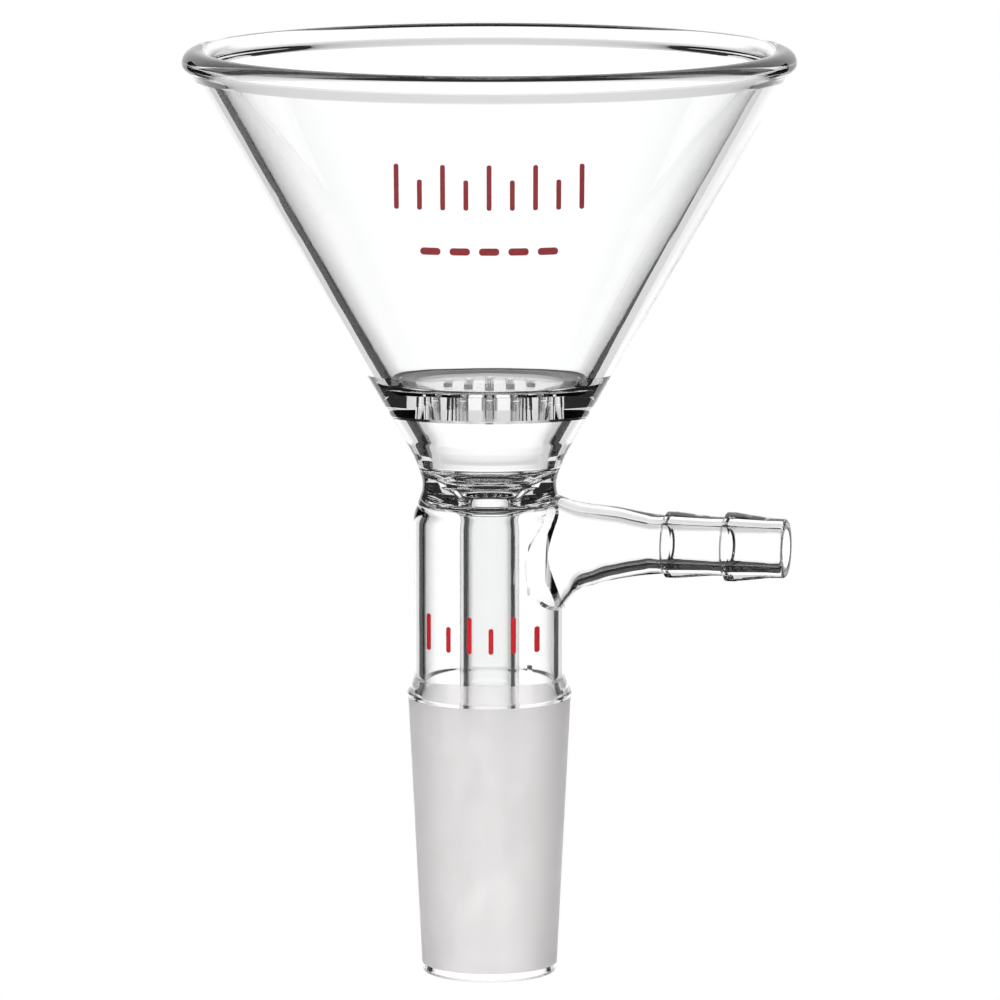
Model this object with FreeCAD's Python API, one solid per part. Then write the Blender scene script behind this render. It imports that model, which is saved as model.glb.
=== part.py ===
"""Conical Buchner funnel with a perforated plate, a drip tube, a vacuum side arm and a 24/40 ground joint.

Millimetres. The origin is the centre of the ground joint's lower end, +Z runs up the funnel's axis and
the vacuum side arm points along +X.
"""

import FreeCAD, Part
import math
import os

V = FreeCAD.Vector
ORIGIN = V(0, 0, 0)
AXIS_X = V(1, 0, 0)
AXIS_Z = V(0, 0, 1)
CLEARANCE = 1.0

# Ground joint, 24/40: 24 mm at the wide end, 1 in 10 on diameter, ground over 40 mm
joint_wide_diameter = 24.0
joint_taper = 0.1
ground_length = 40.0
joint_wall = 1.5
clear_tip = 1.3
clear_tip_inset = 0.1
tip_round = 0.45
shoulder_radius = 12.25
shoulder_z = 41.9
shoulder_round = 0.8
shoulder_top_z = 44.2
shoulder_top_round = 1.6
shoulder_bore_low_z = 40.1
shoulder_bore_high_z = 43.6
joint_seam_z = 45.4

# Body tube, the outer jacket around the drip tube
body_radius = 11.2
body_wall = 1.6
body_corner_z = 68.3
body_corner_round = 4.0
jacket_ceiling_z = 70.4
jacket_ceiling_round = 1.6

# Ring seal, where bowl, body tube and drip tube meet
neck_corner_radius = 9.6
neck_z = 72.9
neck_round = 4.5
seal_radius = 7.5
seal_seam_z = 73.0

# Collecting chamber under the plate
chamber_floor_z = 75.7
chamber_floor_radius = 8.5
chamber_floor_round = 1.0
chamber_floor_dish = 0.3
chamber_top_z = 78.6
chamber_top_radius = 8.9
chamber_cone_z = 80.5
chamber_round = 2.5

# Bowl
rim_diameter = 90.0
half_angle = math.radians(30)
bowl_wall = 3.05
cone_start_radius = 11.2
cone_start_z = 77.3
cone_start_round = 12.0

# Fire-polished rim, slightly thickened
rim_overhang = 1.53
rim_height = 4.0
rim_flare_height = 1.6
rim_flare_round = 1.0
rim_top_width = 4.1
rim_top_round = 1.9
rim_inner_step = 1.0
rim_inner_round = 0.6

# Perforated plate
plate_bottom_z = 84.65
plate_thickness = 3.95
plate_bottom_fillet = 0.5
plate_top_fillet = 2.0
plate_dish_width = 3.0
plate_dish_height = 0.35
plate_dish_round = 1.6
hole_diameter = 1.3
hole_pitch = 3.5
hole_rings = 2
hole_row_azimuth = math.radians(-77)
hole_row_angle = math.radians(60)

# Drip tube
drip_outer_radius = 4.4
drip_bore_radius = 3.25
drip_hang_drop = 1.0
drip_hang_round = 2.0
drip_mouth_radius = 5.1
drip_mouth_drop = 0.7
drip_mouth_round = 1.6
drip_throat_radius = 4.9
drip_throat_z = 73.0
drip_throat_round = 1.0
drip_flare_z = 71.1
drip_flare_round = 2.0
drip_tip_low_z = 11.4
drip_tip_high_z = 17.1

# Vacuum side arm. Oval sections: distance from the funnel's axis, half width, height above and depth
# below the arm's axis
arm_axis_z = 64.8
arm_seam_x = 26.0
arm_section_points = 16
arm_sections = (
    (7.0, 8.7, 7.6, 14.2),
    (9.0, 7.8, 7.0, 12.4),
    (10.5, 7.25, 6.7, 10.6),
    (12.0, 6.75, 6.2, 8.7),
    (13.5, 6.4, 5.85, 7.2),
    (15.8, 5.95, 5.6, 6.35),
    (17.6, 5.62, 5.45, 5.8),
    (19.4, 5.3, 5.3, 5.35),
    (21.2, 5.0, 5.0, 5.0),
    (23.0, 4.7, 4.7, 4.7),
    (24.5, 4.51, 4.51, 4.51),
    (arm_seam_x, 4.35, 4.35, 4.35),
)
arm_bore_radius = 2.85
arm_bore_start_x = 22.5
arm_bore_sections = (
    (5.0, 7.6, 5.3, 13.2),
    (7.0, 7.2, 5.3, 12.7),
    (9.0, 6.3, 5.3, 10.9),
    (10.5, 5.75, 5.2, 9.1),
    (12.0, 5.25, 4.7, 7.2),
    (13.5, 4.9, 4.35, 5.7),
    (15.8, 4.45, 4.1, 4.85),
    (17.6, 4.07, 3.9, 4.2),
    (19.4, 3.7, 3.7, 3.75),
    (21.2, 3.35, 3.35, 3.35),
    (22.9, 3.04, 3.04, 3.04),
    (24.6, 2.72, 2.72, 2.72),
)

# Hose barb. Crests: where each rises, where it ends, its radius. Valleys: where each lies, its radius
barb_root_radius = 4.35
barb_tip_x = 44.6
barb_tip_round = 0.45
barb_step = 0.3
barb_crests = ((26.8, 28.2, 4.9), (35.7, 36.9, 5.1))
barb_valleys = ((33.8, 4.35), (42.3, 4.4))

# Fired enamel marks: plain ticks and dashes
enamel_thickness = 0.15
enamel_stroke = 0.7
mark_corner = 0.45
bowl_mark_azimuth = -77.0
bowl_ticks = 9
bowl_tick_pitch = 3.3
bowl_tick_bottom_z = 117.2
bowl_tick_heights = (6.9, 4.6)
bowl_dashes = 5
bowl_dash_pitch = 4.2
bowl_dash_length = 2.9
bowl_dash_z = (110.3, 111.4)
joint_mark_azimuth = -84.0
joint_ticks = 6
joint_tick_pitch = 3.2
joint_tick_bottom_z = 49.3
joint_tick_heights = (5.4, 3.8)

slope = math.tan(half_angle)
wall_across = bowl_wall / math.cos(half_angle)
joint_wide_radius = joint_wide_diameter / 2
joint_small_radius = joint_wide_radius - joint_taper * ground_length / 2
ground_top_z = clear_tip + ground_length
body_bore_radius = body_radius - body_wall
plate_top_z = plate_bottom_z + plate_thickness
rim_radius = rim_diameter / 2
lip_radius = rim_radius - rim_overhang
lip_z = cone_start_z + (lip_radius - cone_start_radius) / slope
rim_z = lip_z + rim_height


def cone_outside(z):
    """Radius of the bowl's outer wall at height z."""
    return cone_start_radius + (z - cone_start_z) * slope


def cone_inside(z):
    """Radius of the bowl's inner wall at height z."""
    return cone_outside(z) - wall_across


def turned(corners, axis=AXIS_Z, upright=AXIS_X, base=ORIGIN):
    """Solid of revolution of a closed outline.

    Each corner is (radius, distance along the axis, rounding radius).
    """
    points = [upright * r + axis * z for r, z, _ in corners]
    rounds = [rounding for _, _, rounding in corners]
    count = len(points)
    edges = []
    ends = []
    for i, point in enumerate(points):
        if rounds[i] == 0:
            ends.append((point, point))
            continue
        before = (points[i - 1] - point).normalize()
        after = (points[(i + 1) % count] - point).normalize()
        half = before.getAngle(after) / 2
        reach = rounds[i] / math.tan(half)
        middle = (before + after).normalize()
        crown = point + middle * (rounds[i] / math.sin(half) - rounds[i])
        start = point + before * reach
        stop = point + after * reach
        edges.append(Part.Arc(start, crown, stop).toShape())
        ends.append((start, stop))
    for i in range(count):
        leave = ends[i][1]
        arrive = ends[(i + 1) % count][0]
        if leave.distanceToPoint(arrive) > 1e-6:
            edges.append(Part.makeLine(leave, arrive))
    wire = Part.Wire(Part.__sortEdges__(edges))
    solid = Part.Face(wire).revolve(ORIGIN, axis, 360)
    solid.translate(base)
    return solid


def cylinder(radius, low, high):
    """Upright cylinder on the funnel's axis."""
    return Part.makeCylinder(radius, high - low, V(0, 0, low))


def outer_wall():
    """Outline corners of the body, neck and lower cone, from the joint's seam up to the cone."""
    return [
        (body_radius, joint_seam_z, 0),
        (body_radius, body_corner_z, body_corner_round),
        (neck_corner_radius, neck_z, neck_round),
        (cone_start_radius, cone_start_z, cone_start_round),
    ]


def envelope():
    """Solid filling the body tube, the neck and the lower cone, out to their outer wall."""
    top_z = plate_bottom_z
    return turned([
        (0, joint_seam_z, 0),
        *outer_wall(),
        (cone_outside(top_z), top_z, 0),
        (0, top_z, 0),
    ])


def ground_joint():
    """Tapered ground joint with its clear fire-polished tip and the shoulder up to the body tube."""
    return turned([
        (joint_small_radius - clear_tip_inset, 0, tip_round),
        (joint_small_radius, clear_tip, 0),
        (joint_wide_radius, ground_top_z, 0),
        (shoulder_radius, shoulder_z, shoulder_round),
        (body_radius, shoulder_top_z, shoulder_top_round),
        (body_radius, joint_seam_z, 0),
        (body_bore_radius, joint_seam_z, 0),
        (body_bore_radius, shoulder_bore_high_z, shoulder_top_round),
        (joint_wide_radius - joint_wall, shoulder_bore_low_z, shoulder_top_round),
        (joint_small_radius - joint_wall, 0, tip_round),
    ])


def body_tube():
    """Jacket tube from the joint's seam up to the ring seal, open to the side arm."""
    jacket = turned([
        *outer_wall()[:-1],
        (cone_start_radius, cone_start_z, 0),
        (seal_radius, cone_start_z, 0),
        (seal_radius, jacket_ceiling_z, 0),
        (body_bore_radius, jacket_ceiling_z, jacket_ceiling_round),
        (body_bore_radius, joint_seam_z, 0),
    ])
    below_seal = cylinder(2 * body_radius, joint_seam_z, seal_seam_z)
    return jacket.common(below_seal).cut(arm_bore())


def bowl_cone():
    """Bowl from the ring seal up to the rim, with the collecting chamber under the plate."""
    bowl = turned([
        *outer_wall(),
        (lip_radius, lip_z, 0),
        (lip_radius - wall_across, lip_z, 0),
        (cone_inside(chamber_cone_z), chamber_cone_z, chamber_round),
        (chamber_top_radius, chamber_top_z, chamber_round),
        (chamber_floor_radius, chamber_floor_z, chamber_floor_round),
        (seal_radius, chamber_floor_z - chamber_floor_dish, 0),
        (seal_radius, joint_seam_z, 0),
    ])
    above_seal = cylinder(rim_radius + CLEARANCE, seal_seam_z, lip_z)
    return bowl.common(above_seal)


def rim_bead():
    """Fire-polished rim around the bowl's lip."""
    inner = lip_radius - wall_across
    return turned([
        (lip_radius, lip_z, 0),
        (rim_radius, lip_z + rim_flare_height, rim_flare_round),
        (rim_radius, rim_z, rim_top_round),
        (rim_radius - rim_top_width, rim_z, rim_top_round),
        (inner + rim_inner_step * slope, lip_z + rim_inner_step, rim_inner_round),
        (inner, lip_z, 0),
    ])


def hole_centres():
    """Centres of the plate's holes: a hexagon of staggered rows."""
    centres = []
    steps = range(-hole_rings, hole_rings + 1)
    for i in steps:
        for j in steps:
            if abs(i + j) > hole_rings:
                continue
            x = i * math.cos(hole_row_azimuth) + j * math.cos(hole_row_azimuth + hole_row_angle)
            y = i * math.sin(hole_row_azimuth) + j * math.sin(hole_row_azimuth + hole_row_angle)
            centres.append(V(x * hole_pitch, y * hole_pitch, 0))
    return centres


def perforated_plate():
    """Plate fused into the bowl, with straight holes."""
    low_z = plate_bottom_z - plate_bottom_fillet
    high_z = plate_top_z + plate_top_fillet
    plate = turned([
        (0, plate_bottom_z, 0),
        (cone_inside(plate_bottom_z) - plate_bottom_fillet, plate_bottom_z, 0),
        (cone_inside(low_z), low_z, 0),
        (cone_inside(high_z), high_z, 0),
        (cone_inside(plate_top_z), plate_top_z + plate_dish_height, plate_dish_round),
        (cone_inside(plate_top_z) - plate_dish_width, plate_top_z, 0),
        (0, plate_top_z, 0),
    ])
    for centre in hole_centres():
        hole = cylinder(hole_diameter / 2, plate_bottom_z - CLEARANCE, plate_top_z + CLEARANCE)
        hole.translate(centre)
        plate = plate.cut(hole)
    return plate


def drip_tube():
    """Drip tube hung from the ring seal: a funnel mouth, a straight bore and a slanted tip."""
    mouth_z = chamber_floor_z - chamber_floor_dish
    tube = turned([
        (drip_bore_radius, 0, 0),
        (drip_outer_radius, 0, 0),
        (drip_outer_radius, jacket_ceiling_z - drip_hang_drop, drip_hang_round),
        (seal_radius, jacket_ceiling_z, 0),
        (seal_radius, mouth_z, 0),
        (drip_mouth_radius, mouth_z - drip_mouth_drop, drip_mouth_round),
        (drip_throat_radius, drip_throat_z, drip_throat_round),
        (drip_bore_radius, drip_flare_z, drip_flare_round),
    ])
    rise = drip_tip_high_z - drip_tip_low_z
    tilt = math.degrees(math.atan2(rise, 2 * drip_outer_radius))
    reach = 4 * drip_outer_radius
    below = Part.makeBox(2 * reach, 2 * reach, 3 * reach, V(-reach, -reach, -3 * reach))
    below.rotate(ORIGIN, V(0, 1, 0), -tilt)
    below.translate(V(0, 0, (drip_tip_low_z + drip_tip_high_z) / 2))
    return tube.cut(below)


def arm_section(x, aside, above, below):
    """Closed oval across the side arm at distance x from the funnel's axis."""
    middle_z = arm_axis_z + (above - below) / 2
    tall = (above + below) / 2
    points = []
    for k in range(arm_section_points):
        angle = 2 * math.pi * k / arm_section_points
        points.append(V(x, aside * math.cos(angle), middle_z + tall * math.sin(angle)))
    curve = Part.BSplineCurve()
    curve.interpolate(points, PeriodicFlag=True)
    return Part.Wire(curve.toShape())


def arm_form(sections):
    """Solid through a row of oval sections."""
    return Part.makeLoft([arm_section(*section) for section in sections], True)


def arm_bore():
    """Bore of the side arm and hose barb, opening out into the jacket."""
    start = V(arm_bore_start_x, 0, arm_axis_z)
    length = barb_tip_x + CLEARANCE - arm_bore_start_x
    straight = Part.makeCylinder(arm_bore_radius, length, start, AXIS_X)
    return arm_form(arm_bore_sections).fuse(straight)


def side_arm():
    """Short arm between the body tube and the hose barb."""
    return arm_form(arm_sections).cut(envelope()).cut(arm_bore())


def hose_barb():
    """Serrated hose connection with a straight bore."""
    corners = [
        (arm_bore_radius, arm_seam_x, 0),
        (barb_root_radius, arm_seam_x, 0),
    ]
    for (rise_x, crest_x, crest_radius), (valley_x, valley_radius) in zip(barb_crests, barb_valleys):
        corners.append((barb_root_radius, rise_x - barb_step, 0))
        corners.append((crest_radius, rise_x, barb_step))
        corners.append((crest_radius, crest_x, barb_step))
        corners.append((valley_radius, valley_x, 0))
    corners.append((barb_root_radius, barb_tip_x, barb_tip_round))
    corners.append((arm_bore_radius, barb_tip_x, 0))
    return turned(corners, AXIS_X, AXIS_Z, V(0, 0, arm_axis_z))


def mark_block(across, low, high, width, reach):
    """Upright block crossing the wall along +X, with rounded ends."""
    block = Part.makeBox(reach, width, high - low, V(0, across - width / 2, low))
    along = [edge for edge in block.Edges if abs(edge.BoundBox.XLength - reach) < 1e-6]
    return block.makeFillet(mark_corner * min(width, high - low), along)


def turned_marks(blocks, azimuth):
    """The blocks joined in one shape and turned to their azimuth in degrees."""
    marks = Part.makeCompound(blocks)
    marks.rotate(ORIGIN, AXIS_Z, azimuth)
    return marks


def tick_row(count, pitch, bottom_z, heights, reach):
    """Row of upright ticks, long and short by turns."""
    ticks = []
    for i, across in enumerate(centred(count, pitch)):
        ticks.append(mark_block(across, bottom_z, bottom_z + heights[i % 2], enamel_stroke, reach))
    return ticks


def centred(count, pitch):
    """Offsets of count items at a pitch, centred on zero."""
    return [(i - (count - 1) / 2) * pitch for i in range(count)]


def bowl_mark():
    """Row of ticks over a row of dashes, fired on the outside of the bowl."""
    across_coat = enamel_thickness / math.cos(half_angle)
    low = plate_top_z
    high = lip_z - CLEARANCE
    coat = turned([
        (cone_outside(low), low, 0),
        (cone_outside(low) + across_coat, low, 0),
        (cone_outside(high) + across_coat, high, 0),
        (cone_outside(high), high, 0),
    ])
    blocks = tick_row(bowl_ticks, bowl_tick_pitch, bowl_tick_bottom_z, bowl_tick_heights, rim_radius)
    for across in centred(bowl_dashes, bowl_dash_pitch):
        blocks.append(mark_block(across, *bowl_dash_z, bowl_dash_length, rim_radius))
    return coat.common(turned_marks(blocks, bowl_mark_azimuth))


def joint_mark():
    """Row of ticks fired on the outside of the body tube, above the ground joint."""
    low = joint_seam_z + CLEARANCE
    high = body_corner_z - body_corner_round
    coat = cylinder(body_radius + enamel_thickness, low, high).cut(cylinder(body_radius, low, high))
    blocks = tick_row(joint_ticks, joint_tick_pitch, joint_tick_bottom_z, joint_tick_heights, rim_radius)
    return coat.common(turned_marks(blocks, joint_mark_azimuth))


pieces = {
    "ground_joint": ground_joint(),
    "body_tube": body_tube(),
    "drip_tube": drip_tube(),
    "bowl_cone": bowl_cone(),
    "rim_bead": rim_bead(),
    "perforated_plate": perforated_plate(),
    "side_arm": side_arm(),
    "hose_barb": hose_barb(),
    "bowl_mark": bowl_mark(),
    "joint_mark": joint_mark(),
}

os.makedirs("parts", exist_ok=True)
for name, shape in pieces.items():
    shape.exportStep(f"parts/{name}.step")
    box = shape.optimalBoundingBox(True, False)
    print(
        f"{name}: valid {shape.isValid()}, solids {len(shape.Solids)}, volume {shape.Volume:.1f},"
        f" x {box.XMin:.2f}..{box.XMax:.2f}, y {box.YMin:.2f}..{box.YMax:.2f}, z {box.ZMin:.2f}..{box.ZMax:.2f}"
    )
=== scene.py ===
import math

import bmesh
import bpy
from mathutils import Matrix, Vector


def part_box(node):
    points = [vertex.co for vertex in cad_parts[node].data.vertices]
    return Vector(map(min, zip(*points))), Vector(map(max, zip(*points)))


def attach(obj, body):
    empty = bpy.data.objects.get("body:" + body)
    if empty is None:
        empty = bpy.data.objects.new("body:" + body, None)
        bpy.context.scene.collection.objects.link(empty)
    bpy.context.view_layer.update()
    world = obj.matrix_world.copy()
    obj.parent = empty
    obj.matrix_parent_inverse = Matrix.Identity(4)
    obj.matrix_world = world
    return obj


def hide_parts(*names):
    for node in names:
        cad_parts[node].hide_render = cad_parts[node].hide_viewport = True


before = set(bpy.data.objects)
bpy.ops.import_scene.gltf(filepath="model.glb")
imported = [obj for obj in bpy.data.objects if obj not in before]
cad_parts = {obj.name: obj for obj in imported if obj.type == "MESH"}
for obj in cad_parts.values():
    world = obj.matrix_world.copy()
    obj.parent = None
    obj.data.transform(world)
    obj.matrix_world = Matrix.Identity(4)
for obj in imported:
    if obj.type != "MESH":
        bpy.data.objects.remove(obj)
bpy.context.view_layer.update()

MM = 0.001
TURN_STEPS = 360
ARC_STEP = math.radians(6)
SUPPORT = 0.2
CREASE = math.radians(32)

GLASS, SEAM, GROUND, SCRAP = 0, 1, 2, 3


def mm_box(node):
    """Lowest and highest corner of a CAD node, in millimetres."""
    low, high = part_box(node)
    return low / MM, high / MM


# ---------------------------------------------------------------- sizes, in millimetres
# places that the CAD boxes give
joint_high = mm_box("ground_joint")[1]
body_high = mm_box("body_tube")[1]
cone_high = mm_box("bowl_cone")[1]
bead_low, bead_high = mm_box("rim_bead")
plate_low, plate_high = mm_box("perforated_plate")
drip_low, drip_high = mm_box("drip_tube")
barb_low, barb_high = mm_box("hose_barb")

joint_seam_z = joint_high.z
seal_seam_z = body_high.z
lip_z = bead_low.z
rim_z = bead_high.z
body_radius = body_high.x
bead_radius = bead_high.x
lip_radius = cone_high.x
seal_radius = drip_high.x
arm_seam_x = barb_low.x
barb_tip_x = barb_high.x
arm_axis_z = (barb_low.z + barb_high.z) / 2

# ground joint
ground_length = 40.0
joint_small = 10.0
joint_wide = 12.0
joint_wall = 1.5
clear_tip = 1.3
clear_tip_inset = 0.1
ground_top_z = clear_tip + ground_length
tip_round = 0.45
shoulder_radius = 12.25
shoulder_z = 41.9
shoulder_round = 0.8
shoulder_top_z = 44.2
shoulder_top_round = 1.6
shoulder_bore_low_z = ground_top_z - 1.2
shoulder_bore_high_z = shoulder_top_z - 0.6

# body tube and ring seal
body_wall = 1.6
body_bore = body_radius - body_wall
body_corner_z = 68.3
body_corner_round = 4.0
ceiling_z = 70.4
ceiling_round = 1.6
neck_radius = 9.6
neck_z = 72.9
neck_round = 4.5

# collecting chamber
chamber_floor_z = 75.7
chamber_floor_radius = 8.5
chamber_floor_round = 1.0
chamber_floor_dish = 0.3
chamber_top_z = 78.6
chamber_top_radius = 8.9
chamber_cone_z = 80.5
chamber_round = 2.5

# bowl and rim
bowl_wall = 3.05
half_angle = math.radians(30)
slope = math.tan(half_angle)
wall_across = bowl_wall / math.cos(half_angle)
cone_start_radius = 11.2
cone_start_z = 77.3
cone_start_round = 12.0
rim_flare_height = 1.6
rim_flare_round = 1.0
rim_top_width = 4.1
rim_top_round = 1.9
rim_inner_step = 1.0
rim_inner_round = 0.6

# perforated plate
plate_bottom_z = 84.65
plate_top_z = 88.6
plate_bottom_fillet = 0.5
plate_dish_width = 3.0
plate_dish_height = 0.35
plate_dish_round = 1.6
hole_radius = 0.65
hole_pitch = 3.5
hole_rings = 2
hole_row_azimuth = math.radians(-77)
hole_row_angle = math.radians(60)
hole_steps = 48
pin_length = 8

# drip tube
drip_outer = 4.4
drip_bore = 3.25
drip_foot_z = 5.0
drip_hang_drop = 1.0
drip_hang_round = 2.0
drip_mouth_z = chamber_floor_z - chamber_floor_dish
drip_mouth_radius = 5.1
drip_mouth_drop = 0.7
drip_mouth_round = 1.6
drip_throat_radius = 4.9
drip_throat_z = 73.0
drip_throat_round = 1.0
drip_flare_z = 71.1
drip_flare_round = 2.0
drip_tip_low_z = drip_low.z
drip_tip_high_z = 17.1
slant_width = 30
slant_depth = 20

# hose barb, with its crests as (rise, end, radius, next valley, valley's radius)
bore_radius = 2.85
barb_root = 4.35
barb_tip_round = 0.45
barb_step = 0.3
barb_crests = ((26.8, 28.2, 4.9, 33.8, 4.35), (35.7, 36.9, 5.1, 42.3, 4.4))


def cone_outside(z):
    return cone_start_radius + (z - cone_start_z) * slope


def cone_inside(z):
    return cone_outside(z) - wall_across


# ---------------------------------------------------------------- meshes
def outline(corners):
    """Points and span materials of a closed outline.

    Each corner is (radius, along, rounding, material of the span that follows it).
    """
    count = len(corners)
    spots = [Vector((c[0], c[1])) for c in corners]
    cut = []
    for i, spot in enumerate(spots):
        rounding = corners[i][2]
        if rounding == 0:
            cut.append([spot])
            continue
        before = (spots[i - 1] - spot).normalized()
        after = (spots[(i + 1) % count] - spot).normalized()
        half = before.angle(after) / 2
        reach = rounding / math.tan(half)
        middle = spot + (before + after).normalized() * (rounding / math.sin(half))
        start = spot + before * reach - middle
        sweep = math.pi - 2 * half
        turn = 1 if start.x * before.y - start.y * before.x < 0 else -1
        steps = max(2, math.ceil(sweep / ARC_STEP))
        arc = []
        for k in range(steps + 1):
            a = turn * sweep * k / steps
            arc.append(middle + Vector((start.x * math.cos(a) - start.y * math.sin(a),
                                        start.x * math.sin(a) + start.y * math.cos(a))))
        cut.append(arc)
    points, spans = [], []
    for i in range(count):
        last_material = corners[i - 1][3]
        material = corners[i][3]
        arc = cut[i]
        if len(arc) > 1:
            halfway = len(arc) // 2
            for k, p in enumerate(arc):
                points.append(p)
                spans.append(last_material if k < halfway else material)
            spans[-1] = material
        else:
            points.append(arc[0])
            spans.append(material)
        here = arc[-1]
        there = cut[(i + 1) % count][0]
        gap = (there - here).length
        if gap > 4 * SUPPORT:
            way = (there - here).normalized()
            for reach in (SUPPORT, gap - SUPPORT):
                points.append(here + way * reach)
                spans.append(material)
    return points, spans


def finish_mesh(name, mesh):
    mesh.shade_smooth()
    mesh.set_sharp_from_angle(angle=CREASE)
    thing = bpy.data.objects.new(name, mesh)
    bpy.context.scene.collection.objects.link(thing)
    return thing


def turned(name, corners, along_x=False):
    """Closed solid of revolution about the funnel's axis, or about the side arm's axis."""
    points, spans = outline(corners)
    bm = bmesh.new()
    rings = []
    for p in points:
        if p.x < 1e-6:
            spots = [(0.0, 0.0, p.y)]
        else:
            spots = [(p.x * math.cos(2 * math.pi * k / TURN_STEPS),
                      p.x * math.sin(2 * math.pi * k / TURN_STEPS), p.y) for k in range(TURN_STEPS)]
        ring = []
        for x, y, z in spots:
            place = Vector((z, y, x + arm_axis_z)) if along_x else Vector((x, y, z))
            ring.append(bm.verts.new(place * MM))
        rings.append(ring)
    for i, ring in enumerate(rings):
        after = rings[(i + 1) % len(rings)]
        if len(ring) == 1 and len(after) == 1:
            continue
        for k in range(TURN_STEPS):
            n = (k + 1) % TURN_STEPS
            quad = (ring[k % len(ring)], ring[n % len(ring)], after[n % len(after)], after[k % len(after)])
            face = bm.faces.new(list(dict.fromkeys(quad)))
            face.material_index = spans[i]
    bmesh.ops.recalc_face_normals(bm, faces=bm.faces)
    if bm.calc_volume(signed=True) < 0:
        bmesh.ops.reverse_faces(bm, faces=bm.faces)
    mesh = bpy.data.meshes.new(name)
    bm.to_mesh(mesh)
    bm.free()
    for material in materials:
        mesh.materials.append(material)
    return finish_mesh(name, mesh)


def combined(target, operation, tool):
    """Applies a boolean to target and removes the tool."""
    modifier = target.modifiers.new("cut", "BOOLEAN")
    modifier.operation = operation
    modifier.object = tool
    modifier.solver = "EXACT"
    modifier.material_mode = "TRANSFER"
    bpy.context.view_layer.update()
    evaluated = target.evaluated_get(bpy.context.evaluated_depsgraph_get())
    mesh = bpy.data.meshes.new_from_object(evaluated)
    target.modifiers.clear()
    target.data = mesh
    bpy.data.objects.remove(tool)
    return target


def copied(thing, name, material=None):
    """Copy of an object, optionally with all its faces in one material."""
    twin = thing.copy()
    twin.data = thing.data.copy()
    twin.name = name
    bpy.context.scene.collection.objects.link(twin)
    if material is not None:
        for slot in range(len(twin.data.materials)):
            twin.data.materials[slot] = material
    return twin


def tidied(thing):
    """Welds the cuts' doubled corners and sets the creases again."""
    bm = bmesh.new()
    bm.from_mesh(thing.data)
    bmesh.ops.remove_doubles(bm, verts=bm.verts, dist=1e-7)
    bmesh.ops.dissolve_degenerate(bm, dist=1e-7, edges=bm.edges)
    bm.to_mesh(thing.data)
    bm.free()
    thing.data.shade_smooth()
    thing.data.set_sharp_from_angle(angle=CREASE)
    return thing


# ---------------------------------------------------------------- materials
def new_material(name):
    material = bpy.data.materials.new(name)
    material.use_nodes = True
    tree = material.node_tree
    return material, tree, tree.nodes["Principled BSDF"]


def noise(tree, scale, detail=2.0, rough=0.5):
    place = tree.nodes.get("place") or tree.nodes.new("ShaderNodeTexCoord")
    place.name = "place"
    texture = tree.nodes.new("ShaderNodeTexNoise")
    texture.inputs["Scale"].default_value = scale
    texture.inputs["Detail"].default_value = detail
    texture.inputs["Roughness"].default_value = rough
    tree.links.new(place.outputs["Object"], texture.inputs["Vector"])
    return texture.outputs["Fac"]


def spread(tree, source, low, high):
    ranged = tree.nodes.new("ShaderNodeMapRange")
    ranged.inputs["From Min"].default_value = 0.3
    ranged.inputs["From Max"].default_value = 0.7
    ranged.inputs["To Min"].default_value = low
    ranged.inputs["To Max"].default_value = high
    tree.links.new(source, ranged.inputs["Value"])
    return ranged.outputs["Result"]


def bump(tree, source, distance, strength=1.0):
    node = tree.nodes.new("ShaderNodeBump")
    node.inputs["Distance"].default_value = distance
    node.inputs["Strength"].default_value = strength
    tree.links.new(source, node.inputs["Height"])
    return node.outputs["Normal"]


def clear_glass():
    material, tree, shader = new_material("clear_glass")
    shader.inputs["Base Color"].default_value = (0.985, 0.988, 0.987, 1)
    shader.inputs["Transmission Weight"].default_value = 1.0
    shader.inputs["IOR"].default_value = 1.47
    tree.links.new(spread(tree, noise(tree, 90), 0.0, 0.012), shader.inputs["Roughness"])
    tree.links.new(bump(tree, noise(tree, 140, 1.0), 0.00002, 0.5), shader.inputs["Normal"])
    return material


def fused_seam():
    material = bpy.data.materials.new("fused_seam")
    material.use_nodes = True
    tree = material.node_tree
    tree.nodes.clear()
    out = tree.nodes.new("ShaderNodeOutputMaterial")
    clear = tree.nodes.new("ShaderNodeBsdfTransparent")
    tree.links.new(clear.outputs["BSDF"], out.inputs["Surface"])
    return material


def ground_glass():
    material, tree, shader = new_material("ground_glass")
    shader.inputs["Base Color"].default_value = (0.96, 0.94, 0.94, 1)
    shader.inputs["Transmission Weight"].default_value = 0.4
    shader.inputs["IOR"].default_value = 1.47
    grain = bump(tree, noise(tree, 9000, 3.0, 0.7), 0.00002, 0.8)
    tree.links.new(spread(tree, noise(tree, 1800, 3.0), 0.5, 0.66), shader.inputs["Roughness"])
    tree.links.new(grain, shader.inputs["Normal"])
    milky = tree.nodes.new("ShaderNodeBsdfTranslucent")
    milky.inputs["Color"].default_value = (0.98, 0.96, 0.96, 1)
    tree.links.new(grain, milky.inputs["Normal"])
    blend = tree.nodes.new("ShaderNodeMixShader")
    tree.links.new(spread(tree, noise(tree, 300, 2.0), 0.36, 0.44), blend.inputs["Fac"])
    tree.links.new(shader.outputs["BSDF"], blend.inputs[1])
    tree.links.new(milky.outputs["BSDF"], blend.inputs[2])
    tree.links.new(blend.outputs["Shader"], tree.nodes["Material Output"].inputs["Surface"])
    return material


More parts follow.
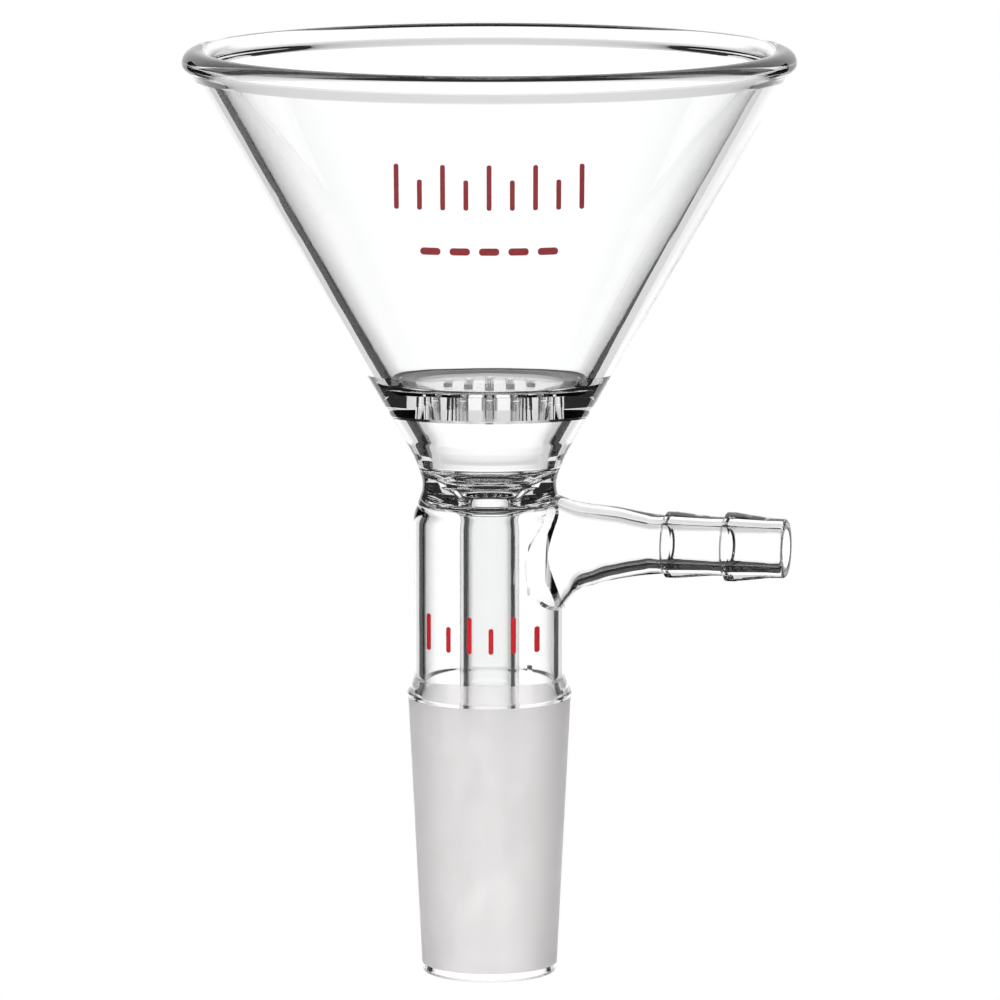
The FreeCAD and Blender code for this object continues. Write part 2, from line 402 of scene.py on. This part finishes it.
def red_enamel(name, colour):
    material, tree, shader = new_material(name)
    blend = tree.nodes.new("ShaderNodeMix")
    blend.data_type = "RGBA"
    blend.inputs[6].default_value = (*colour, 1)
    blend.inputs[7].default_value = (*[c * 0.7 for c in colour], 1)
    tree.links.new(spread(tree, noise(tree, 2500, 3.0), 0.0, 1.0), blend.inputs["Factor"])
    tree.links.new(blend.outputs[2], shader.inputs["Base Color"])
    tree.links.new(spread(tree, noise(tree, 1500), 0.3, 0.5), shader.inputs["Roughness"])
    tree.links.new(bump(tree, noise(tree, 5000, 2.0), 0.00002, 0.6), shader.inputs["Normal"])
    return material


glass = clear_glass()
seam = fused_seam()
frosted = ground_glass()
scrap = bpy.data.materials.new("scrap")
materials = (glass, seam, frosted, scrap)

# ---------------------------------------------------------------- turned pieces
ground_joint = turned("joint_24_40", [
    (joint_small - clear_tip_inset, 0, tip_round, GLASS),
    (joint_small, clear_tip, 0, GROUND),
    (joint_wide, ground_top_z, 0, GLASS),
    (shoulder_radius, shoulder_z, shoulder_round, GLASS),
    (body_radius, shoulder_top_z, shoulder_top_round, GLASS),
    (body_radius, joint_seam_z, 0, SEAM),
    (body_bore, joint_seam_z, 0, GLASS),
    (body_bore, shoulder_bore_high_z, shoulder_top_round, GLASS),
    (joint_wide - joint_wall, shoulder_bore_low_z, shoulder_top_round, GLASS),
    (joint_small - joint_wall, 0, tip_round, GLASS),
])

outer_wall = [
    (body_radius, joint_seam_z, 0, GLASS),
    (body_radius, body_corner_z, body_corner_round, GLASS),
    (neck_radius, neck_z, neck_round, GLASS),
    (cone_start_radius, cone_start_z, cone_start_round, GLASS),
    (cone_outside(plate_bottom_z), plate_bottom_z, 0, GLASS),
]


INSIDE_THE_GLASS = 6
NUDGE = 1e-6
outer_points, _ = outline([*outer_wall, (0, plate_bottom_z, 0, GLASS), (0, joint_seam_z, 0, GLASS)])


def wall_radius_at(z):
    """Radius of the outer wall where it crosses height z."""
    for a, b in zip(outer_points, outer_points[1:]):
        if min(a.x, b.x) > INSIDE_THE_GLASS and a.y <= z <= b.y and b.y > a.y:
            return a.x + (b.x - a.x) * (z - a.y) / (b.y - a.y)
    raise ValueError(z)


def wall_points(low, high):
    """Points of the outer wall between two heights, as outline corners without rounding."""
    between = [(p.x, p.y, 0, GLASS) for p in outer_points if p.x > INSIDE_THE_GLASS and low < p.y < high]
    return [
        (wall_radius_at(low + NUDGE), low, 0, GLASS),
        *between,
        (wall_radius_at(high - NUDGE), high, 0, GLASS),
    ]


lower_wall = wall_points(joint_seam_z, seal_seam_z)
upper_wall = wall_points(seal_seam_z, plate_bottom_z)
body_inside = [
    (*lower_wall[-1][:3], SEAM),
    (seal_radius, seal_seam_z, 0, SEAM),
    (seal_radius, ceiling_z, 0, GLASS),
    (body_bore, ceiling_z, ceiling_round, GLASS),
    (body_bore, joint_seam_z, 0, SEAM),
]
body_tube = turned("jacket_tube", [*lower_wall[:-1], *body_inside])

bowl_cone = turned("bowl", [
    *upper_wall,
    (lip_radius, lip_z, 0, SEAM),
    (lip_radius - wall_across, lip_z, 0, GLASS),
    (cone_inside(plate_high.z), plate_high.z, 0, SEAM),
    (cone_inside(plate_low.z), plate_low.z, 0, GLASS),
    (cone_inside(chamber_cone_z), chamber_cone_z, chamber_round, GLASS),
    (chamber_top_radius, chamber_top_z, chamber_round, GLASS),
    (chamber_floor_radius, chamber_floor_z, chamber_floor_round, GLASS),
    (seal_radius, drip_mouth_z, 0, SEAM),
    (seal_radius, seal_seam_z, 0, SEAM),
])

bead_inner = lip_radius - wall_across
rim_bead = turned("rim_roll", [
    (lip_radius, lip_z, 0, GLASS),
    (bead_radius, lip_z + rim_flare_height, rim_flare_round, GLASS),
    (bead_radius, rim_z, rim_top_round, GLASS),
    (bead_radius - rim_top_width, rim_z, rim_top_round, GLASS),
    (bead_inner + rim_inner_step * slope, lip_z + rim_inner_step, rim_inner_round, GLASS),
    (bead_inner, lip_z, 0, SEAM),
])

drip_tube = turned("drip_stem", [
    (drip_bore, drip_foot_z, 0, GLASS),
    (drip_outer, drip_foot_z, 0, GLASS),
    (drip_outer, ceiling_z - drip_hang_drop, drip_hang_round, GLASS),
    (seal_radius, ceiling_z, 0, SEAM),
    (seal_radius, drip_mouth_z, 0, GLASS),
    (drip_mouth_radius, drip_mouth_z - drip_mouth_drop, drip_mouth_round, GLASS),
    (drip_throat_radius, drip_throat_z, drip_throat_round, GLASS),
    (drip_bore, drip_flare_z, drip_flare_round, GLASS),
])

# the drip tip is cut on the slant, low on the side away from the arm
slant_tilt = math.atan2(drip_tip_high_z - drip_tip_low_z, 2 * drip_outer)
slant_middle_z = (drip_tip_low_z + drip_tip_high_z) / 2
bpy.ops.mesh.primitive_cube_add(size=1)
slant = bpy.context.object
slant.data.transform(Matrix.Translation((0, 0, -0.5)))
slant.data.transform(Matrix.Diagonal((slant_width * MM, slant_width * MM, slant_depth * MM, 1)))
slant.data.transform(Matrix.Rotation(-slant_tilt, 4, "Y"))
slant.data.transform(Matrix.Translation((0, 0, slant_middle_z * MM)))
slant.data.materials.append(glass)
combined(drip_tube, "DIFFERENCE", slant)
tidied(drip_tube)

# ---------------------------------------------------------------- perforated plate
plate_edge = cone_inside(plate_top_z)
plate = turned("sieve_plate", [
    (0, plate_bottom_z, 0, GLASS),
    (cone_inside(plate_bottom_z) - plate_bottom_fillet, plate_bottom_z, 0, GLASS),
    (cone_inside(plate_low.z), plate_low.z, 0, SEAM),
    (cone_inside(plate_high.z), plate_high.z, 0, GLASS),
    (plate_edge, plate_top_z + plate_dish_height, plate_dish_round, GLASS),
    (plate_edge - plate_dish_width, plate_top_z, 0, GLASS),
    (0, plate_top_z, 0, GLASS),
])

# pins that cut the holes, on a hexagonal grid
row_azimuths = (hole_row_azimuth, hole_row_azimuth + hole_row_angle)
pin_middle_z = (plate_bottom_z + plate_top_z) / 2
bm = bmesh.new()
for i in range(-hole_rings, hole_rings + 1):
    for j in range(-hole_rings, hole_rings + 1):
        if abs(i + j) > hole_rings:
            continue
        x = hole_pitch * (i * math.cos(row_azimuths[0]) + j * math.cos(row_azimuths[1]))
        y = hole_pitch * (i * math.sin(row_azimuths[0]) + j * math.sin(row_azimuths[1]))
        made = bmesh.ops.create_cone(bm, cap_ends=True, segments=hole_steps, radius1=hole_radius * MM,
                                     radius2=hole_radius * MM, depth=pin_length * MM)
        bmesh.ops.translate(bm, verts=made["verts"], vec=Vector((x, y, pin_middle_z)) * MM)
pins_mesh = bpy.data.meshes.new("pins")
bm.to_mesh(pins_mesh)
bm.free()
pins_mesh.materials.append(glass)
pins = bpy.data.objects.new("pins", pins_mesh)
bpy.context.scene.collection.objects.link(pins)
combined(plate, "DIFFERENCE", pins)
tidied(plate)

# ---------------------------------------------------------------- side arm and hose barb
# oval sections: distance from the funnel's axis, half width, height above and depth below the arm's axis
ARM_STEPS_ALONG = 70
ARM_STEPS_AROUND = 160
BORE_OVERRUN = 2
arm_sections = (
    (7.0, 8.7, 7.6, 14.2),
    (9.0, 7.8, 7.0, 12.4),
    (10.5, 7.25, 6.7, 10.6),
    (12.0, 6.75, 6.2, 8.7),
    (13.5, 6.4, 5.85, 7.2),
    (15.8, 5.95, 5.6, 6.35),
    (17.6, 5.62, 5.45, 5.8),
    (19.4, 5.3, 5.3, 5.35),
    (21.2, 5.0, 5.0, 5.0),
    (23.0, 4.7, 4.7, 4.7),
    (24.5, 4.51, 4.51, 4.51),
    (arm_seam_x, barb_root, barb_root, barb_root),
)
bore_sections = (
    (5.0, 7.6, 5.3, 13.2),
    (7.0, 7.2, 5.3, 12.7),
    (9.0, 6.3, 5.3, 10.9),
    (10.5, 5.75, 5.2, 9.1),
    (12.0, 5.25, 4.7, 7.2),
    (13.5, 4.9, 4.35, 5.7),
    (15.8, 4.45, 4.1, 4.85),
    (17.6, 4.07, 3.9, 4.2),
    (19.4, 3.7, 3.7, 3.75),
    (21.2, 3.35, 3.35, 3.35),
    (22.9, 3.04, 3.04, 3.04),
    (24.6, 2.72, 2.72, 2.72),
)


def smooth_section(rows, x):
    """Oval section at x, on a smooth curve through the listed sections."""
    i = 0
    while i < len(rows) - 2 and x > rows[i + 1][0]:
        i += 1
    a, b = rows[i], rows[i + 1]
    before = rows[max(i - 1, 0)]
    after = rows[min(i + 2, len(rows) - 1)]
    span = b[0] - a[0]
    t = (x - a[0]) / span
    values = []
    for j in (1, 2, 3):
        lead = (b[j] - before[j]) / (b[0] - before[0]) * span
        trail = (after[j] - a[j]) / (after[0] - a[0]) * span
        values.append((2 * t**3 - 3 * t**2 + 1) * a[j] + (t**3 - 2 * t**2 + t) * lead
                      + (3 * t**2 - 2 * t**3) * b[j] + (t**3 - t**2) * trail)
    return values


def arm_form(name, rows, straight_to=None):
    """Closed form through oval sections, optionally carried on along the straight bore."""
    start, stop = rows[0][0], rows[-1][0]
    places = [start + (stop - start) * i / ARM_STEPS_ALONG for i in range(ARM_STEPS_ALONG + 1)]
    sections = [(x, *smooth_section(rows, x)) for x in places]
    if straight_to is not None:
        sections = [(x, *(max(size, bore_radius) for size in sizes)) for x, *sizes in sections]
        sections.append((straight_to, bore_radius, bore_radius, bore_radius))
    bm = bmesh.new()
    rings = []
    for x, aside, above, below in sections:
        middle, tall = arm_axis_z + (above - below) / 2, (above + below) / 2
        ring = []
        for k in range(ARM_STEPS_AROUND):
            turn = 2 * math.pi * k / ARM_STEPS_AROUND
            spot = Vector((x, aside * math.cos(turn), middle + tall * math.sin(turn)))
            ring.append(bm.verts.new(spot * MM))
        rings.append(ring)
    for a, b in zip(rings, rings[1:]):
        for k in range(ARM_STEPS_AROUND):
            n = (k + 1) % ARM_STEPS_AROUND
            bm.faces.new((a[k], a[n], b[n], b[k]))
    bm.faces.new(rings[0]).material_index = GLASS
    bm.faces.new(rings[-1]).material_index = SEAM
    bmesh.ops.recalc_face_normals(bm, faces=bm.faces)
    mesh = bpy.data.meshes.new(name)
    bm.to_mesh(mesh)
    bm.free()
    for material in materials:
        mesh.materials.append(material)
    return finish_mesh(name, mesh)


loft = arm_form("arm_form", arm_sections)
loft_as_seam = copied(loft, "loft_as_seam", seam)
core = turned("core", [
    (0, joint_seam_z, 0, SCRAP),
    *[(*c[:3], SCRAP) for c in lower_wall],
    *[(*c[:3], SCRAP) for c in upper_wall[1:]],
    (0, plate_bottom_z, 0, SCRAP),
])
combined(body_tube, "DIFFERENCE", copied(loft_as_seam, "hole_tool"))
tidied(body_tube)
wall_patch = copied(loft_as_seam, "wall_patch")
wall_only = turned("wall_only", [*[(*c[:3], SCRAP) for c in lower_wall[:-1]], *body_inside])
combined(wall_patch, "INTERSECT", wall_only)
side_arm = loft
combined(side_arm, "DIFFERENCE", core)
for pierced in (side_arm, wall_patch):
    combined(pierced, "DIFFERENCE", arm_form("bore_form", bore_sections, arm_seam_x + BORE_OVERRUN))
bpy.data.objects.remove(loft_as_seam)

# the patch of body wall inside the arm joins the arm: their shared faces go and the edges are welded
patch_slots = [materials.index(material) for material in wall_patch.data.materials]
for face in wall_patch.data.polygons:
    face.material_index = patch_slots[face.material_index]
bm = bmesh.new()
bm.from_mesh(side_arm.data)
bm.from_mesh(wall_patch.data)
shared = [f for f in bm.faces if f.material_index == SCRAP]
bmesh.ops.delete(bm, geom=shared, context="FACES")
bmesh.ops.remove_doubles(bm, verts=bm.verts, dist=2e-6)
bm.to_mesh(side_arm.data)
bm.free()
bpy.data.objects.remove(wall_patch)
side_arm.name = "vacuum_arm"
tidied(side_arm)

barb_outline = [(bore_radius, arm_seam_x, 0, SEAM), (barb_root, arm_seam_x, 0, GLASS)]
for rise, crest, radius, valley, valley_radius in barb_crests:
    barb_outline += [
        (barb_root, rise - barb_step, barb_step / 2, GLASS),
        (radius, rise, barb_step, GLASS),
        (radius, crest, barb_step, GLASS),
        (valley_radius, valley, 0, GLASS),
    ]
barb_outline += [
    (barb_root, barb_tip_x, barb_tip_round, GLASS),
    (bore_radius, barb_tip_x, barb_step, GLASS),
]
hose_barb = turned("hose_serrations", barb_outline, along_x=True)

# ---------------------------------------------------------------- enamel marks stay as their CAD nodes
bowl_red = red_enamel("bowl_enamel", (0.26, 0.03, 0.035))
joint_red = red_enamel("joint_enamel", (0.5, 0.01, 0.018))
for node, colour in (("bowl_mark", bowl_red), ("joint_mark", joint_red)):
    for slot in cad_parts[node].material_slots:
        slot.material = colour

for piece in (ground_joint, body_tube, drip_tube, bowl_cone, rim_bead, plate, side_arm, hose_barb):
    indices = [face.material_index for face in piece.data.polygons]
    used = sorted(set(indices))
    kept = [piece.data.materials[index] for index in used]
    piece.data.materials.clear()
    for material in kept:
        piece.data.materials.append(material)
    for face, index in zip(piece.data.polygons, indices):
        face.material_index = used.index(index)

for piece, node, slot in (
    (ground_joint, "ground_joint", "ground_glass"),
    (body_tube, "body_tube", "clear_glass"),
    (drip_tube, "drip_tube", "clear_glass"),
    (bowl_cone, "bowl_cone", "clear_glass"),
    (rim_bead, "rim_bead", "clear_glass"),
    (plate, "perforated_plate", "clear_glass"),
    (side_arm, "side_arm", "clear_glass"),
    (hose_barb, "hose_barb", "clear_glass"),
):
    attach(piece, "root")
    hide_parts(node)

# ---------------------------------------------------------------- camera
FOCAL = 281.6
CAMERA_AZIMUTH = math.radians(13)
CAMERA_REACH = 1.140
CAMERA_HEIGHT = 0.241
AIM_Z = 0.0705
AIM_ASIDE = 0.00155

camera_data = bpy.data.cameras.new("camera")
camera_data.sensor_width = 36
camera_data.lens = FOCAL
camera = bpy.data.objects.new("camera", camera_data)
bpy.context.scene.collection.objects.link(camera)
toward = Vector((math.sin(CAMERA_AZIMUTH), -math.cos(CAMERA_AZIMUTH), 0))
right = Vector((math.cos(CAMERA_AZIMUTH), math.sin(CAMERA_AZIMUTH), 0))
camera.location = toward * CAMERA_REACH + Vector((0, 0, CAMERA_HEIGHT)) + right * AIM_ASIDE
aim = Vector((0, 0, AIM_Z)) + right * AIM_ASIDE
camera.rotation_mode = "QUATERNION"
camera.rotation_quaternion = (aim - camera.location).to_track_quat("-Z", "Y")
bpy.context.scene.camera = camera
bpy.context.view_layer.update()


# ---------------------------------------------------------------- studio
def glow(name, colour, strength):
    material = bpy.data.materials.new(name)
    material.use_nodes = True
    tree = material.node_tree
    tree.nodes.clear()
    out = tree.nodes.new("ShaderNodeOutputMaterial")
    light = tree.nodes.new("ShaderNodeEmission")
    light.inputs["Color"].default_value = (*colour, 1)
    light.inputs["Strength"].default_value = strength
    tree.links.new(light.outputs["Emission"], out.inputs["Surface"])
    return material


def sheet(name, width, depth, material):
    bm = bmesh.new()
    bmesh.ops.create_grid(bm, x_segments=1, y_segments=1, size=0.5)
    bmesh.ops.scale(bm, vec=(width, depth, 1), verts=bm.verts)
    mesh = bpy.data.meshes.new(name)
    bm.to_mesh(mesh)
    bm.free()
    mesh.materials.append(material)
    thing = bpy.data.objects.new(name, mesh)
    bpy.context.scene.collection.objects.link(thing)
    return thing


floor = sheet("floor", 30, 30, glow("floor_white", (1, 1, 1), 1.0))
floor.location = (0, 0, -0.0002)
floor.visible_transmission = False
floor.visible_glossy = False
floor.visible_diffuse = True
floor.visible_shadow = False

# the bright field stands behind the object as the camera sees it, and travels with the camera
PANEL_REACH = 1.75
PANEL_LEFT, PANEL_RIGHT = -0.33, 0.40
PANEL_BOTTOM, PANEL_TOP = -0.21, 0.72
PANEL_MIDDLE, PANEL_EDGE = 1.24, 0.8
FALLOFF_START, FALLOFF_END = 0.12, 0.27
panel_glow = glow("bright_field_white", (1, 1, 1), 1.0)
panel = sheet("bright_field", PANEL_RIGHT - PANEL_LEFT, PANEL_TOP - PANEL_BOTTOM, panel_glow)
panel.parent = camera
panel.location = ((PANEL_LEFT + PANEL_RIGHT) / 2, (PANEL_BOTTOM + PANEL_TOP) / 2, -PANEL_REACH)
panel.visible_camera = False
tree = panel_glow.node_tree
place = tree.nodes.new("ShaderNodeTexCoord")
off_axis = tree.nodes.new("ShaderNodeVectorMath")
off_axis.operation = "DISTANCE"
off_axis.inputs[1].default_value = (-panel.location.x, -panel.location.y, 0)
falloff = tree.nodes.new("ShaderNodeMapRange")
falloff.interpolation_type = "SMOOTHSTEP"
falloff.inputs["From Min"].default_value = FALLOFF_START
falloff.inputs["From Max"].default_value = FALLOFF_END
falloff.inputs["To Min"].default_value = PANEL_MIDDLE
falloff.inputs["To Max"].default_value = PANEL_EDGE
tree.links.new(place.outputs["Object"], off_axis.inputs[0])
tree.links.new(off_axis.outputs["Value"], falloff.inputs["Value"])
tree.links.new(falloff.outputs["Result"], tree.nodes["Emission"].inputs["Strength"])
panel.visible_shadow = False

# a wider white field above it, for the light that the thick plate bends upwards
WING_WIDTH = 2.4
WING_BOTTOM, WING_TOP = 0.30, 0.95
WING_GAP = 0.02
wing_glow = glow("above_white", (1, 1, 1), 0.95)
wing = sheet("bright_field_above", WING_WIDTH, WING_TOP - WING_BOTTOM, wing_glow)
wing.parent = camera
wing.location = (0, (WING_BOTTOM + WING_TOP) / 2, -PANEL_REACH - WING_GAP)
wing.visible_camera = False
wing.visible_shadow = False


def soft_light(name, width, height, energy, place, turn=(0, 0, 0), on_camera=False):
    """Area light that lights the frost and the enamel but isn't seen in the glass."""
    lamp = bpy.data.lights.new(name, "AREA")
    lamp.shape = "RECTANGLE"
    lamp.size, lamp.size_y = width, height
    lamp.energy = energy
    box = bpy.data.objects.new(name, lamp)
    if on_camera:
        box.parent = camera
    box.location = place
    box.rotation_euler = [math.radians(angle) for angle in turn]
    box.visible_glossy = False
    box.visible_transmission = False
    bpy.context.scene.collection.objects.link(box)
    return box


soft_light("top_box", 1.2, 0.9, 14, (0, 0.1, 1.1))
soft_light("front_box", 0.8, 0.8, 21, (-0.12, 0.4, 0.1), (-18, -6, 0), on_camera=True)
back_box = soft_light("back_box", 0.8, 0.8, 9.5, (0, 0.1, -1.72), (0, 180, 0), on_camera=True)
back_box.visible_camera = False

world = bpy.data.worlds.new("studio")
bpy.context.scene.world = world
world.use_nodes = True
tree = world.node_tree
tree.nodes.clear()
out = tree.nodes.new("ShaderNodeOutputWorld")
seen = tree.nodes.new("ShaderNodeBackground")
seen.inputs["Color"].default_value = (1, 1, 1, 1)
dark = tree.nodes.new("ShaderNodeBackground")
dark.inputs["Color"].default_value = (0.025, 0.024, 0.025, 1)
mix = tree.nodes.new("ShaderNodeMixShader")
path = tree.nodes.new("ShaderNodeLightPath")
tree.links.new(path.outputs["Is Camera Ray"], mix.inputs["Fac"])
tree.links.new(dark.outputs["Background"], mix.inputs[1])
tree.links.new(seen.outputs["Background"], mix.inputs[2])
tree.links.new(mix.outputs["Shader"], out.inputs["Surface"])

scene = bpy.context.scene
scene.cycles.max_bounces = 40
scene.cycles.transmission_bounces = 36
scene.cycles.glossy_bounces = 12
scene.cycles.transparent_max_bounces = 24
scene.cycles.diffuse_bounces = 3
scene.cycles.caustics_reflective = True
scene.cycles.caustics_refractive = True
scene.cycles.use_denoising = True
scene.view_settings.view_transform = "Standard"
scene.view_settings.look = "None"
